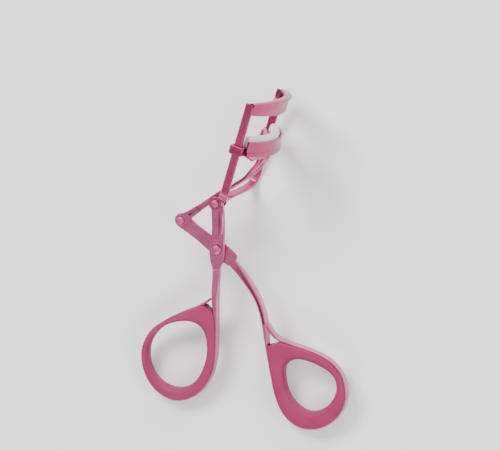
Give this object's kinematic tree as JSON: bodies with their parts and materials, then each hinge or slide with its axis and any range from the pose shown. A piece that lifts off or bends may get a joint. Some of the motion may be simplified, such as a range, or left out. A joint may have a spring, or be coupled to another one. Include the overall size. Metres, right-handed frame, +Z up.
{
  "type": "eyelash curler",
  "caption": "Scissor-handled eyelash curler with two padded finger loops, a curved pad jaw that slides up a rail frame, and a linking fork.",
  "frame": {"origin": "centre of the bounding box at the level of the surface that the curler lies on", "axes": "+Y along the curler from the finger loops to the jaws, +Z up from the table, +X towards the jaws' convex side and the right finger loop. The curler lies on its side on three points: both soft grips and a top corner of the rail frame. So the plane of the handles is tilted by 12.8 degrees."},
  "size_m": [0.065, 0.1034, 0.0399],
  "materials": {
    "pink_metal": "satin lilac-pink plating",
    "soft_grip": "matte soft-touch",
    "pad_silicone": "matte silicone",
    "rivet_metal": "satin dome"
  },
  "bodies": {
    "left_side": {"left_handle": "pink_metal", "left_grip": "soft_grip", "main_rivet": "rivet_metal", "frame_rivet": "rivet_metal"},
    "right_side": {"right_handle": "pink_metal", "right_grip": "soft_grip"},
    "frame": {"upper_frame": "pink_metal"},
    "jaw": {"lower_jaw": "pink_metal", "silicone_pad": "pad_silicone", "jaw_fork": "pink_metal", "fork_rivet": "rivet_metal", "jaw_rivet_near": "rivet_metal", "jaw_rivet_far": "rivet_metal"}
  },
  "joints": [
    {"name": "handle_pivot", "type": "hinge", "parent": "left_side", "child": "right_side", "pos_m": [-0.00873, 0.00167, 0.01188], "axis": [0.067, 0.212, -0.975], "range_deg": [0, 14.7]},
    {"name": "frame_hinge", "type": "hinge", "parent": "left_side", "child": "frame", "pos_m": [-0.00883, 0.01574, 0.01493], "axis": [-0.067, -0.212, 0.975], "range_deg": [0, 19.5]},
    {"name": "jaw_slide", "type": "slide", "parent": "frame", "child": "jaw", "axis": [0.2731, 0.9359, 0.2223], "range_m": [0, 0.0065]}
  ],
  "couplings": [
    {"joint": "frame_hinge", "follows": "handle_pivot", "ratio": 1.3173},
    {"joint": "jaw_slide", "follows": "handle_pivot", "m_per_rad": 0.02516}
  ]
}
